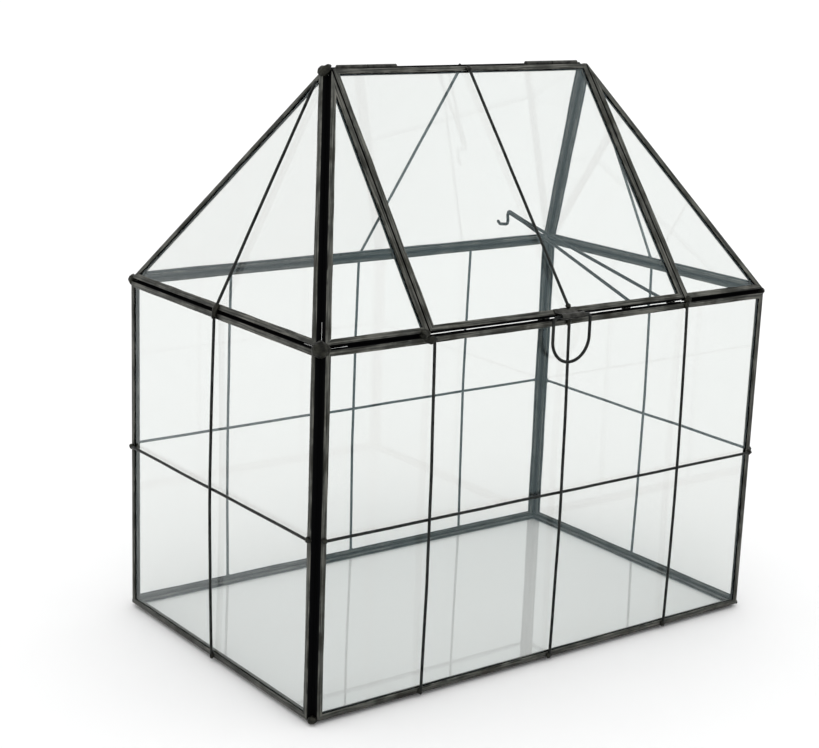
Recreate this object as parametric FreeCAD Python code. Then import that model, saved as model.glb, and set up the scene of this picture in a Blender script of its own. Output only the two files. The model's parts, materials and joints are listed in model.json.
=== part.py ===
"""House-shaped glass case: channel-edged panes soldered together, a hinged lid, a pull and a prop rod.

Millimetres, +Z up, X along the house, Y from front to back.
The origin is the middle of the underside of the base.
Each pane has an inner face, and its glass and its channel stand outward from that face.
"""
import FreeCAD, Part
import math
import os

Vector = FreeCAD.Vector
os.makedirs("parts", exist_ok=True)

# ---- the house, measured between the inner faces of its panes ----
house_length = 261.0
house_depth = 160.0
wall_height = 165.0
roof_rise = 105.0
ridge_length = 153.0
base_drop = 2.0            # the floor's channel stands this far below the walls

# ---- the channel folded round each pane ----
channel_leg = 2.6          # how far each leg covers the glass
channel_wall = 0.5
channel_bend = 0.6         # outer radius of the fold on the face side
mitre_slot = 0.3           # open seam where two legs meet in a corner
glass_thickness = 2.0
glass_face_gap = 0.1       # from each face of the glass to the leg beside it
glass_edge_gap = 0.3       # from the glass edge to the bottom of the channel
seam = 0.3                 # gap between the inner edges of two neighbouring panes
lid_clearance = 0.55       # how much smaller the lid is on each side

# ---- wires on the outside of the glass ----
wire_radius = 0.7
wire_seat_gap = 0.05       # from a channel's face to the wire on it
wire_crossing_gap = 0.1    # between a rail and the point where the upright's two runs would meet over it
upright_bend = 300.0       # radius of an upright's soft bend there
wire_end_margin = 0.3      # from a wire's end to the edge of the pane
ridge_wire_margin = 1.2    # the same at the ridge
lid_wire_top = 0.4         # the hand-set lid wire's place along X, at the ridge
lid_wire_foot = 3.0        # and at the pull
rail_height = 82.5         # above the walls' lower edge
hand_offset = 1.5          # the left and middle uprights stand this far to the right
hip_wire_stop = 7.0        # the hip wires end this far below the ridge, along the slope

# ---- solder ----
eave_solder = 2.6          # radii
base_solder = 1.5
apex_solder = 3.0
crossing_solder = 2.1
joint_solder = 1.9
wire_solder = 1.35
lid_solder = 1.2
solder_lid_gap = 0.9       # from the lid's side to the apex solder

# ---- hinges on the ridge ----
hinge_outer_end = 72.0     # from the middle of the ridge
hinge_length = 33.0
knuckle_radius = 1.2
knuckle_gap = 0.4          # between the lid's knuckle and the case's knuckle
hinge_stand_off = 0.3      # from a knuckle to the channel of the case
pin_radius = 0.5
pin_running_gap = 0.05     # in the lid's knuckle
pin_fixed_gap = 0.02       # in the case's knuckle
pin_overhang = 0.4
knuckle_solder_width = 1.4
knuckle_solder_margin = 1.5

# ---- pull handle ----
pull_centre = 1.0          # along X
pull_width = 21.9          # between the middles of the loop's legs
pull_drop = 21.4           # from the pivot to the middle of the wire at the bottom
pull_wire_radius = 0.75
pull_stand_off = 3.1       # from the lid's outer face to the pivot
pull_below_edge = 2.3      # from the lid's lower edge down to the pivot, along the slope
pull_bend = 2.0
clip_width = 13.5
clip_barrel_radius = 1.5
clip_running_gap = 0.08
clip_sheet = 0.5
pull_end_gap = 3.0         # between the two ends of the loop inside the barrel

# ---- prop rod ----
prop_centre = 57.0         # along X
prop_feet = 20.4           # between the two legs at the pivot
prop_length = 112.0        # from the pivot to the hook's first bend
prop_join = 96.0           # from the pivot to where the legs meet
prop_rest_angle = 14.4     # above the horizontal, degrees
prop_wire_radius = 0.8
prop_wire_gap = 0.02       # between the two legs where they lie side by side
prop_bend = 1.6
hook_points = [(-2.6, -6.8), (3.4, -9.2), (5.4, -8.4)]   # along and across the rod, from its end
hook_bends = [1.6, 1.8, 1.2]
side_leg_stop = 3.0        # the side leg ends this far before the hook
foot_overhang = 0.8        # how far a foot reaches through its eye
eye_radius = 1.3
eye_length = 4.5
eye_start = 2.0            # from a leg to its eye
eye_running_gap = 0.05
eye_stand_off = 0.35       # from an eye to the lid's inner face
eye_height = 2.0           # above the lid's lower edge, along the slope
eye_solder_width = 1.2

# ---- places that follow from the sizes ----
channel_depth = glass_thickness + 2 * (glass_face_gap + channel_wall)
half_length = house_length / 2
half_depth = house_depth / 2
half_ridge = ridge_length / 2
eave = base_drop + wall_height
ridge = eave + roof_rise
slope_length = math.hypot(half_depth, roof_rise)
hip_run = half_length - half_ridge
wire_lift = channel_depth + wire_seat_gap + wire_radius
nodes = {}
channels = {}


def unit(vector):
    return Vector(vector).normalize()


def inset(corners, normal, distances):
    """Moves each side of a convex outline in by its own distance, within the outline's plane."""
    count = len(corners)
    inward = [unit(normal.cross(corners[(i + 1) % count] - corners[i])) for i in range(count)]
    moved = []
    for i in range(count):
        a, b = inward[i - 1], inward[i]
        share = a.dot(b)
        along_a = (a - b * share) * (distances[i - 1] / (1 - share * share))
        along_b = (b - a * share) * (distances[i] / (1 - share * share))
        moved.append(corners[i] + along_a + along_b)
    return moved


def prism(corners, normal, start, end):
    face = Part.Face(Part.makePolygon(corners + corners[:1]))
    face.translate(normal * start)
    return face.extrude(normal * (end - start))


def edges_on_plane(shape, point, normal):
    """The edges of a shape whose two ends lie on a plane."""
    found = []
    for edge in shape.Edges:
        if all(abs((vertex.Point - point).dot(normal)) < 1e-6 for vertex in edge.Vertexes):
            found.append(edge)
    return found


def folded_channel(outline, normal):
    """A U section bent round a pane, open towards the glass, with a mitre seam in each corner."""
    sides = len(outline)
    body = prism(outline, normal, 0, channel_depth)
    outer_edges = edges_on_plane(body, outline[0] + normal * channel_depth, normal)
    body = body.makeFillet(channel_bend, outer_edges)
    leg_line = inset(outline, normal, [channel_leg] * sides)
    body = body.cut(prism(leg_line, normal, -1, channel_depth + 1))
    groove = inset(outline, normal, [channel_wall] * sides)
    body = body.cut(prism(groove, normal, channel_wall, channel_depth - channel_wall))
    seam_start = inset(outline, normal, [channel_wall + channel_bend / 4] * sides)
    for outer, inner in zip(seam_start, leg_line):
        reach = unit(inner - outer)
        across = normal.cross(reach) * (mitre_slot / 2)
        past = inner + reach * mitre_slot
        slot = [outer - across, past - across, past + across, outer + across]
        body = body.cut(prism(slot, normal, -1, channel_depth + 1))
    return body.Solids[0]


def add_pane(name, corners, normal, gaps):
    """A pane and its channel on one face of the house; the corners run anticlockwise from outside."""
    normal = unit(normal)
    outline = inset(corners, normal, gaps)
    glass_line = inset(outline, normal, [channel_wall + glass_edge_gap] * len(outline))
    glass_start = channel_wall + glass_face_gap
    nodes[name + "_glass"] = [prism(glass_line, normal, glass_start, glass_start + glass_thickness)]
    channels[name] = folded_channel(outline, normal)
    nodes[name + "_channel"] = [channels[name]]


def rod(start, end, radius):
    return Part.makeCylinder(radius, (end - start).Length, start, end - start)


def bent_rod(points, bends, radius):
    """A round wire along straight runs that are joined by arcs tangent to both runs."""
    edges = []
    position = points[0]
    for i in range(1, len(points) - 1):
        back = unit(points[i - 1] - points[i])
        ahead = unit(points[i + 1] - points[i])
        half_turn = (math.pi - back.getAngle(ahead)) / 2
        reach = bends[i - 1] * math.tan(half_turn)
        to_centre = bends[i - 1] / math.cos(half_turn)
        middle = points[i] + unit(back + ahead) * (to_centre - bends[i - 1])
        first = points[i] + back * reach
        last = points[i] + ahead * reach
        if (first - position).Length > 1e-6:
            edges.append(Part.LineSegment(position, first).toShape())
        edges.append(Part.Arc(first, middle, last).toShape())
        position = last
    edges.append(Part.LineSegment(position, points[-1]).toShape())
    path = Part.Wire(edges)
    profile = Part.Wire([Part.makeCircle(radius, points[0], points[1] - points[0])])
    return path.makePipeShell([profile], True, False)


def tube(start, end, outer_radius, bore_radius):
    return rod(start, end, outer_radius).cut(rod(start, end, bore_radius))


def near(shape, other, reach=0.5):
    box = FreeCAD.BoundBox(shape.BoundBox)
    box.enlarge(reach)
    return box.intersect(other.BoundBox)


def around(lump, pieces):
    """What is left of a lump outside the pieces that it holds: its largest part."""
    for piece in pieces:
        if near(lump, piece):
            lump = lump.cut(piece)
    return max(lump.Solids, key=lambda part: part.Volume)


def all_pieces():
    return [piece for group in nodes.values() for piece in group]


def blob(centre, radius):
    """A lump of solder before it is trimmed: a block with every edge cut back."""
    block = Part.makeBox(2 * radius, 2 * radius, 2 * radius, centre - Vector(radius, radius, radius))
    return block.makeChamfer(radius * 0.55, block.Edges)


def solder_lift(radius):
    """How far outside a pane's inner face a lump on the channel's face is centred, clear of the glass."""
    return channel_depth + radius * 0.7


# ---- corners of the house ----
def base_corner(x_side, y_side):
    return Vector(x_side * half_length, y_side * half_depth, base_drop)


def eave_corner(x_side, y_side):
    return Vector(x_side * half_length, y_side * half_depth, eave)


def apex(x_side):
    return Vector(x_side * half_ridge, 0, ridge)


front_up = unit(Vector(0, half_depth, roof_rise))
front_out = unit(Vector(0, -roof_rise, half_depth))
back_up = unit(Vector(0, -half_depth, roof_rise))
back_out = unit(Vector(0, roof_rise, half_depth))
hip_up = {side: unit(Vector(-side * hip_run, 0, roof_rise)) for side in (-1, 1)}
hip_out = {side: unit(Vector(side * roof_rise, 0, hip_run)) for side in (-1, 1)}
side_names = {-1: "left", 1: "right"}

# ---- panes of the case ----
half_seam = seam / 2
add_pane("floor",
         [Vector(x * half_length, y * half_depth, channel_depth)
          for x, y in [(-1, -1), (-1, 1), (1, 1), (1, -1)]],
         Vector(0, 0, -1), [seam] * 4)
add_pane("front_wall",
         [base_corner(-1, -1), base_corner(1, -1), eave_corner(1, -1), eave_corner(-1, -1)],
         Vector(0, -1, 0), [half_seam] * 4)
add_pane("back_wall",
         [base_corner(1, 1), base_corner(-1, 1), eave_corner(-1, 1), eave_corner(1, 1)],
         Vector(0, 1, 0), [half_seam] * 4)
add_pane("back_slope",
         [eave_corner(1, 1), eave_corner(-1, 1), apex(-1), apex(1)],
         back_out, [half_seam] * 4)
for side, name in side_names.items():
    add_pane(name + "_wall",
             [base_corner(side, -side), base_corner(side, side),
              eave_corner(side, side), eave_corner(side, -side)],
             Vector(side, 0, 0), [half_seam] * 4)
    add_pane(name + "_hip",
             [eave_corner(side, -side), eave_corner(side, side), apex(side)],
             hip_out[side], [half_seam] * 3)
    eave_end = eave_corner(side, -1)
    lid_corner = Vector(side * half_ridge, -half_depth, eave)
    foot = [eave_end, lid_corner] if side == -1 else [lid_corner, eave_end]
    add_pane("front_" + name + "_slope", foot + [apex(side)], front_out, [half_seam] * 3)


# ---- wires of the case ----
crossing_lift = wire_lift + 2 * wire_radius + wire_crossing_gap
rail_z = base_drop + rail_height
uprights_x = [-half_ridge + hand_offset, hand_offset, half_ridge]


def add_wall_wires(name, middle, along, out, half_width, places):
    """One rail along a wall, and uprights that bow out over it."""
    end = along * (half_width - wire_end_margin)
    rail = middle + out * wire_lift + Vector(0, 0, rail_z)
    nodes[name + "_rail"] = [rod(rail - end, rail + end, wire_radius)]
    uprights = []
    for place in places:
        foot = middle + along * place + out * wire_lift
        bottom = foot + Vector(0, 0, base_drop + wire_end_margin)
        top = foot + Vector(0, 0, eave - wire_end_margin)
        crossing = middle + along * place + out * crossing_lift + Vector(0, 0, rail_z)
        uprights.append(bent_rod([bottom, crossing, top], [upright_bend], wire_radius))
    nodes[name + "_uprights"] = uprights


def slope_wire(foot, head, up, out, foot_margin, head_margin):
    lift = out * wire_lift
    return rod(foot + up * foot_margin + lift, head - up * head_margin + lift, wire_radius)


x_axis = Vector(1, 0, 0)
y_axis = Vector(0, 1, 0)
add_wall_wires("front_wall", y_axis * -half_depth, x_axis, y_axis * -1, half_length, uprights_x)
add_wall_wires("back_wall", y_axis * half_depth, x_axis, y_axis, half_length, uprights_x)
for side, name in side_names.items():
    add_wall_wires(name + "_wall", x_axis * side * half_length, y_axis, x_axis * side, half_depth, [0])
    nodes[name + "_hip_wire"] = [slope_wire(Vector(side * half_length, 0, eave), apex(side),
                                            hip_up[side], hip_out[side], wire_end_margin, hip_wire_stop)]
nodes["back_slope_wire"] = [slope_wire(Vector(hand_offset, half_depth, eave), Vector(hand_offset, 0, ridge),
                                       back_up, back_out, wire_end_margin, ridge_wire_margin)]

# ---- hinges on the ridge: the case's half ----
slope_sine = roof_rise / slope_length
pin_z = ridge + (knuckle_radius + hinge_stand_off - half_seam) / slope_sine
knuckle_length = (hinge_length - knuckle_gap) / 2


def hinge_point(side, distance):
    """A point on the hinge line, measured from a hinge's outer end towards the middle."""
    return Vector(side * (hinge_outer_end - distance), 0, pin_z)


def knuckle_seat(side, start, end, up, out, channel_distance):
    """The run of solder between a knuckle and the channel edge that it stands on."""
    first = hinge_point(side, start + knuckle_solder_margin)
    last = hinge_point(side, end - knuckle_solder_margin)
    half = out * (knuckle_solder_width / 2)
    down = up * channel_distance
    section = [first - half, first + half, first + half - down, first - half - down]
    strip = Part.Face(Part.makePolygon(section + section[:1])).extrude(last - first)
    return strip.cut(rod(hinge_point(side, start), hinge_point(side, end), knuckle_radius))


case_seats = []
for side, name in side_names.items():
    start = knuckle_length + knuckle_gap
    nodes[name + "_case_knuckle"] = [tube(hinge_point(side, start), hinge_point(side, hinge_length),
                                          knuckle_radius, pin_radius + pin_fixed_gap)]
    pin_ends = hinge_point(side, -pin_overhang), hinge_point(side, hinge_length)
    nodes[name + "_hinge_pin"] = [rod(*pin_ends, pin_radius)]
    case_distance = (pin_z - ridge) * slope_sine + half_seam
    case_seats.append(knuckle_seat(side, start, hinge_length, back_up, back_out, case_distance))
nodes["case_hinge_solder"] = case_seats

# ---- solder of the case ----
held = all_pieces()
lid_half_width = half_ridge - lid_clearance
lid_zone = Part.makeBox(2 * (lid_half_width + solder_lid_gap), house_depth, roof_rise,
                        Vector(-lid_half_width - solder_lid_gap, -half_depth, ridge - roof_rise / 2))


def add_solder(name, spots, radius, cutters=()):
    """Lumps of solder, each shaped by the channels and wires that it holds together."""
    lumps = [around(blob(spot, radius), held + list(cutters)) for spot in spots]
    nodes[name] = lumps
    held.extend(lumps)


corners = [(-1, -1), (1, -1), (1, 1), (-1, 1)]
outward = channel_depth / 2
add_solder("base_corner_solder",
           [base_corner(x, y) + Vector(x * base_solder, y * base_solder, 0) * 0.7 for x, y in corners],
           base_solder)
add_solder("eave_corner_solder",
           [eave_corner(x, y) + Vector(x * outward, y * outward, outward / 2) for x, y in corners],
           eave_solder)
add_solder("apex_solder",
           [apex(side) + Vector(side * outward, 0, outward / 2) for side in side_names],
           apex_solder, [lid_zone])
add_solder("crossing_solder",
           [Vector(side * (half_length + channel_depth), 0, eave + outward / 2) for side in side_names]
           + [Vector(hand_offset, half_depth + channel_depth, eave + outward / 2)], crossing_solder)
joint_x = half_ridge + joint_solder + lid_clearance / 4
add_solder("lid_corner_joint_solder",
           [Vector(side * joint_x, -half_depth - outward, eave + outward / 4) for side in side_names],
           joint_solder)

spot_lift = solder_lift(wire_solder)
spot_rise = wire_solder * 1.15
upright_spots = []
for place in uprights_x:
    for side in (-1, 1):
        wall_y = side * (half_depth + spot_lift)
        upright_spots.append(Vector(place, wall_y, base_drop + spot_rise))
        if side == -1 or place != hand_offset:
            upright_spots.append(Vector(place, wall_y, eave - spot_rise))
for side in side_names:
    upright_spots.append(Vector(side * (half_length + spot_lift), 0, base_drop + spot_rise))
add_solder("upright_solder", upright_spots, wire_solder)
rail_spots = []
for x, y in corners:
    rail_spots.append(Vector(x * (half_length - wire_solder), y * (half_depth + spot_lift), rail_z))
    rail_spots.append(Vector(x * (half_length + spot_lift), y * (half_depth - wire_solder), rail_z))
add_solder("rail_solder", rail_spots, wire_solder)

# ---- lid ----
lid_foot = Vector(0, -half_depth, eave)
add_pane("lid",
         [lid_foot - x_axis * half_ridge, lid_foot + x_axis * half_ridge, apex(1), apex(-1)],
         front_out, [lid_clearance] * 4)


def on_lid(x, height, out):
    """A point by its place along X, its height up the slope and its distance outside the inner face."""
    return lid_foot + x_axis * x + front_up * height + front_out * out


lid_seats = []
for side, name in side_names.items():
    nodes[name + "_lid_knuckle"] = [tube(hinge_point(side, 0), hinge_point(side, knuckle_length),
                                         knuckle_radius, pin_radius + pin_running_gap)]
    lid_distance = (pin_z - ridge) * slope_sine + lid_clearance
    lid_seats.append(knuckle_seat(side, 0, knuckle_length, front_up, front_out, lid_distance))
nodes["lid_hinge_solder"] = lid_seats

# ---- pull handle ----
pull_pivot = on_lid(pull_centre, -pull_below_edge, channel_depth + pull_stand_off)
clip_start = pull_pivot - x_axis * (clip_width / 2)
clip_reach = x_axis * clip_width
clip_top = lid_clearance + channel_leg


def clip_part(places):
    """One sheet of the clip, from its outline in height and distance on the lid."""
    outline = [on_lid(clip_start.x, height, out) for height, out in places]
    return Part.Face(Part.makePolygon(outline + outline[:1])).extrude(clip_reach)


sheet_out = channel_depth + clip_sheet
tab_start = on_lid(clip_start.x, lid_clearance, channel_depth + clip_sheet / 2)
tab_along = unit(clip_start - tab_start)
tab_side = x_axis.cross(tab_along) * clip_sheet
tab_outline = [tab_start - tab_side, tab_start + tab_side, clip_start + tab_side, clip_start - tab_side]
plate = clip_part([(lid_clearance, channel_depth), (clip_top, channel_depth),
                   (clip_top, sheet_out), (lid_clearance, sheet_out)])
tab = Part.Face(Part.makePolygon(tab_outline + tab_outline[:1])).extrude(clip_reach)
barrel = rod(clip_start, clip_start + clip_reach, clip_barrel_radius)
clip_bore = rod(clip_start - clip_reach, clip_start + clip_reach * 2, pull_wire_radius + clip_running_gap)
nodes["pull_clip"] = [plate.fuse([tab, barrel]).cut(clip_bore).removeSplitter().Solids[0]]

half_pull = pull_width / 2
loop_places = [(-pull_end_gap / 2, 0), (-half_pull, 0), (-half_pull, -pull_drop),
               (half_pull, -pull_drop), (half_pull, 0), (pull_end_gap / 2, 0)]
nodes["pull_loop"] = [bent_rod([pull_pivot + Vector(x, 0, z) for x, z in loop_places],
                               [pull_bend, half_pull, half_pull, pull_bend], pull_wire_radius)]

# ---- lid wire and its solder ----
wire_foot = on_lid(lid_wire_foot, clip_top + wire_end_margin, wire_lift)
wire_head = on_lid(lid_wire_top, slope_length - ridge_wire_margin, wire_lift)
nodes["lid_wire"] = [rod(wire_foot, wire_head, wire_radius)]
lid_pieces = nodes["lid_channel"] + nodes["lid_glass"] + nodes["pull_clip"] + nodes["lid_wire"]
lid_spots = [on_lid(lid_wire_foot, clip_top, solder_lift(lid_solder)),
             on_lid(lid_wire_top, slope_length - channel_leg, solder_lift(lid_solder))]
nodes["lid_wire_solder"] = [around(blob(spot, lid_solder), lid_pieces) for spot in lid_spots]

# ---- prop rod ----
prop_pivot = on_lid(prop_centre, eye_height, -eye_radius - eye_stand_off)
rest = math.radians(prop_rest_angle)
rod_along = Vector(0, math.cos(rest), math.sin(rest))
rod_up = Vector(0, -math.sin(rest), math.cos(rest))
leg_x = prop_wire_radius + prop_wire_gap / 2
foot_x = prop_feet / 2
foot_end = foot_x + eye_start + eye_length + foot_overhang
join_bend = 30.0


def on_prop(x, along, up=0):
    """A point by its place beside the rod's middle, along the rod and above it."""
    return prop_pivot + x_axis * x + rod_along * along + rod_up * up


main_leg = [on_prop(foot_end, 0), on_prop(foot_x, 0), on_prop(leg_x, prop_join), on_prop(leg_x, prop_length)]
main_leg += [on_prop(leg_x, prop_length + along, up) for along, up in hook_points]
nodes["prop_hook_leg"] = [bent_rod(main_leg, [prop_bend, join_bend] + hook_bends, prop_wire_radius)]
side_leg = [on_prop(-foot_end, 0), on_prop(-foot_x, 0), on_prop(-leg_x, prop_join)]
side_leg.append(on_prop(-leg_x, prop_length - side_leg_stop))
nodes["prop_side_leg"] = [bent_rod(side_leg, [prop_bend, join_bend], prop_wire_radius)]

eyes = []
eye_seats = []
for side in side_names:
    first = on_prop(side * (foot_x + eye_start), 0)
    last = on_prop(side * (foot_x + eye_start + eye_length), 0)
    eyes.append(tube(first, last, eye_radius, prop_wire_radius + eye_running_gap))
    half = front_up * (eye_solder_width / 2)
    out = front_out * (eye_radius + eye_stand_off)
    section = [first - half, first + half, first + half + out, first - half + out]
    strip = Part.Face(Part.makePolygon(section + section[:1])).extrude(last - first)
    eye_seats.append(strip.cut(rod(first, last, eye_radius)))
nodes["prop_eyes"] = eyes
nodes["prop_eye_solder"] = eye_seats

# ---- one file for each node ----
for name, pieces in nodes.items():
    for piece in pieces:
        if not piece.isValid() or piece.ShapeType != "Solid" and len(piece.Solids) != 1:
            raise ValueError(name + " isn't one good solid")
    solids = [piece.Solids[0] for piece in pieces]
    shape = solids[0] if len(solids) == 1 else Part.makeCompound(solids)
    shape.exportStep("parts/" + name + ".step")
    print(name, len(solids), round(sum(solid.Volume for solid in solids), 1))
print("hinge line z", round(pin_z, 4), "pull pivot", pull_pivot, "prop pivot", prop_pivot)
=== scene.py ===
import json
from math import atan2, cos, pi, radians, sin

import bpy
import numpy as np
from mathutils import Matrix, Vector


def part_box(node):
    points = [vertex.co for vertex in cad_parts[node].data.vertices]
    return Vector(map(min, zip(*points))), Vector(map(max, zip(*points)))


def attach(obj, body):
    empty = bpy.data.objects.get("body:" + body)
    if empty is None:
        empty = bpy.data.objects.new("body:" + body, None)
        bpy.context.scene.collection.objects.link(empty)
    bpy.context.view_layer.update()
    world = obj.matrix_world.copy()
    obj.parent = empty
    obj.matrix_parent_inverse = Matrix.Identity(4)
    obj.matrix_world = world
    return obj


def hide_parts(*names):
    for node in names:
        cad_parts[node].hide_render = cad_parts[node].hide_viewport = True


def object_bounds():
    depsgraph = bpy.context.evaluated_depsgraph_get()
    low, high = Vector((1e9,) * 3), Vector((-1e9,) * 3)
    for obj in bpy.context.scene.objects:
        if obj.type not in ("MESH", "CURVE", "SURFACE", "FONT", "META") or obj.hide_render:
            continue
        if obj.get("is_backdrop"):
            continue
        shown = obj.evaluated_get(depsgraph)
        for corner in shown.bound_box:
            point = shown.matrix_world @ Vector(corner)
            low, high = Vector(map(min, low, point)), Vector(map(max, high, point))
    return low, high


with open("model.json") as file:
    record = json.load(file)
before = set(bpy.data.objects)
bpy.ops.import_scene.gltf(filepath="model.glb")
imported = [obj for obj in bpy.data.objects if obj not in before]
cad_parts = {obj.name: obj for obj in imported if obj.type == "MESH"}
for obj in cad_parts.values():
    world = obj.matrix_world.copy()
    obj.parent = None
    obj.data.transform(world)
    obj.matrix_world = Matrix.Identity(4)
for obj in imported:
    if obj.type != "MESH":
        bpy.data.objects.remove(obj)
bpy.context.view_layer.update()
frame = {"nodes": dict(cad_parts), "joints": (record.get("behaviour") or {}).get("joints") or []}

mm = 0.001
up = np.array([0.0, 0.0, 1.0])
across = np.array([1.0, 0.0, 0.0])
backward = np.array([0.0, 1.0, 0.0])
print("frame loaded,", len(frame["nodes"]), "nodes")


def unit(vectors):
    return vectors / np.linalg.norm(vectors, axis=-1, keepdims=True)


def ripple(points, wavelength, seed):
    # sum of sine waves in seeded directions, each octave half as long and weaker: about -1 to 1
    rng = np.random.default_rng(seed)
    total = np.zeros(points.shape[:-1])
    for octave in range(3):
        directions = unit(rng.normal(size=(4, points.shape[-1])))
        phases = rng.uniform(0, 2 * pi, 4)
        waves = np.sin(points @ directions.T * (2 * pi * 2 ** octave / wavelength) + phases)
        total += waves.sum(-1) / (3.0 * 1.7 ** octave)
    return total


def wander(length, amount, wavelength, seed):
    # a slow hand-made drift along a length: a function of the distance
    return amount * ripple(np.atleast_1d(length)[:, None], wavelength, seed)


def sleeveUv(grid):
    # distance along the row centres by distance round a circle of the mean radius
    along = np.cumsum(np.r_[0, np.linalg.norm(np.diff(grid.mean(1), axis=0), axis=-1)])
    radius = np.linalg.norm(grid - grid.mean(1, keepdims=True), axis=-1).mean()
    around = np.linspace(0, 1, grid.shape[1] + 1) * 2 * pi * radius
    return np.stack(np.broadcast_arrays(along[:, None], around[None]), -1)


def buildPiece(name, sleeves, material, body, slot, *nodes):
    # each sleeve is rows of closed sections; neighbouring rows are joined by quads and both ends are capped
    points, faces, loopUvs, start = [], [], [], 0
    attributes = {"wear": [], "patina": []}
    for sleeve in sleeves:
        grid = sleeve["points"]
        rows, columns = grid.shape[:2]
        uv = sleeve["uv"] if "uv" in sleeve else sleeveUv(grid)
        index = start + np.arange(rows * columns).reshape(rows, columns)
        later = np.roll(index, -1, axis=1)
        quads = np.stack([index[:-1], later[:-1], later[1:], index[1:]], -1).reshape(-1, 4)
        corners = np.stack([uv[:-1, :-1], uv[:-1, 1:], uv[1:, 1:], uv[1:, :-1]], 2).reshape(-1, 2)
        caps = [index[0][::-1], index[-1]]
        capUvs = [uv[0, :-1][::-1], uv[-1, :-1]]
        centred = grid - grid.mean((0, 1))
        a, b, c = centred[:-1], np.roll(centred, -1, 1)[:-1], np.roll(centred, -1, 1)[1:]
        if np.einsum("ijk,ijk->", a, np.cross(b - a, c - a)) < 0:    # inside out: turn every face round
            quads = quads[:, ::-1]
            corners = corners.reshape(-1, 4, 2)[:, ::-1].reshape(-1, 2)
            caps = [cap[::-1] for cap in caps]
            capUvs = [cap[::-1] for cap in capUvs]
        points.append(grid.reshape(-1, 3))
        faces += quads.tolist() + [cap.tolist() for cap in caps]
        loopUvs += [corners] + capUvs
        for key in attributes:
            value = sleeve.get(key, np.zeros(1))
            attributes[key].append(np.broadcast_to(value, (rows, columns)).reshape(-1))
        start += rows * columns
    mesh = bpy.data.meshes.new(name)
    mesh.from_pydata(np.concatenate(points).tolist(), [], faces)
    layer = mesh.uv_layers.new(name="sheet")
    layer.data.foreach_set("uv", np.concatenate(loopUvs).astype(np.float32).reshape(-1))
    for key, values in attributes.items():
        attribute = mesh.attributes.new(key, "FLOAT", "POINT")
        attribute.data.foreach_set("value", np.concatenate(values).astype(np.float32))
    mesh.polygons.foreach_set("use_smooth", np.ones(len(mesh.polygons), bool))
    mesh.set_sharp_from_angle(angle=radians(38))
    mesh.validate()
    mesh.materials.append(material)
    piece = bpy.data.objects.new(name, mesh)
    bpy.context.scene.collection.objects.link(piece)
    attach(piece, body)
    if nodes:
        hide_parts(*nodes)
    return piece


def softPath(corners, radii, step=0.6 * mm):
    # straight runs joined by arcs: each arc is a turn about its own centre, sampled evenly
    corners = np.asarray(corners, float)
    stretches = [corners[:1]]
    for before, corner, after, radius in zip(corners[:-2], corners[1:-1], corners[2:], radii):
        back, ahead = unit(before - corner), unit(after - corner)
        halfTurn = (pi - np.arccos(np.clip(back @ ahead, -1, 1))) / 2
        centre = corner + unit(back + ahead) * radius / cos(halfTurn)
        inward = unit(-back - ahead)
        sideways = unit(ahead - back)
        angle = np.linspace(-halfTurn, halfTurn, max(3, int(2 * halfTurn * radius / step) + 2))[:, None]
        stretches.append(centre + radius * (inward * np.cos(angle) + sideways * np.sin(angle)))
    stretches.append(corners[-1:])
    path = np.concatenate(stretches)
    gaps = np.linalg.norm(np.diff(path, axis=0), axis=-1)
    distance = np.r_[0, np.cumsum(gaps)]
    keep = np.r_[True, gaps > 1e-7]
    dense = np.union1d(distance, np.arange(0, distance[-1], 3 * mm))
    dense = dense[np.r_[True, np.diff(dense) > 0.15 * mm]]
    return np.stack([np.interp(dense, distance[keep], path[keep][:, k]) for k in range(3)], -1)


def bar(path, radius, side, sides=14, seed=1, uneven=0.015, blunt=0.75):
    # a circle carried along a path, with a domed end: the last rings shrink by a cosine
    tangent = unit(np.gradient(path, axis=0))
    domes = np.radians([75.0, 50.0, 25.0])
    first = path[0] - tangent[0] * (np.sin(domes) * radius * blunt)[:, None]
    last = path[-1] + tangent[-1] * (np.sin(domes[::-1]) * radius * blunt)[:, None]
    spine = np.concatenate([first, path, last])
    ahead = np.concatenate([np.repeat(tangent[:1], 3, 0), tangent, np.repeat(tangent[-1:], 3, 0)])
    width = np.concatenate([np.cos(domes), np.ones(len(path)), np.cos(domes[::-1])])
    nearer = unit(side - (ahead @ side)[:, None] * ahead)
    other = np.cross(ahead, nearer)
    turn = np.arange(sides) * 2 * pi / sides
    ring = nearer[:, None] * np.cos(turn)[None, :, None] + other[:, None] * np.sin(turn)[None, :, None]
    lumpy = 1 + uneven * ripple(spine[:, None] + ring * radius, 9 * mm, seed)
    return {"points": spine[:, None] + ring * (radius * width[:, None] * lumpy)[..., None]}


def ball(centre, axes, seed, rough=0.10, wavelength=1.6, rows=18, columns=24):
    # a globe whose radius is one plus a ripple of its direction, stretched along three axes
    polar = np.linspace(0.10, pi - 0.10, rows)[:, None]
    turn = (np.arange(columns) * 2 * pi / columns)[None]
    directions = np.sin(polar) * np.cos(turn), np.sin(polar) * np.sin(turn), np.cos(polar)
    globe = np.stack(np.broadcast_arrays(*directions), -1)
    globe = globe * (1 + rough * ripple(globe, wavelength, seed))[..., None]
    return {"points": np.asarray(centre) + globe @ np.asarray(axes, float)}


def newMaterial(name):
    material = bpy.data.materials.new(name)
    material.use_nodes = True
    tree = material.node_tree
    tree.nodes.clear()
    output = tree.nodes.new("ShaderNodeOutputMaterial")
    shader = tree.nodes.new("ShaderNodeBsdfPrincipled")
    tree.links.new(shader.outputs[0], output.inputs[0])
    return material, tree, shader


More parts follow.
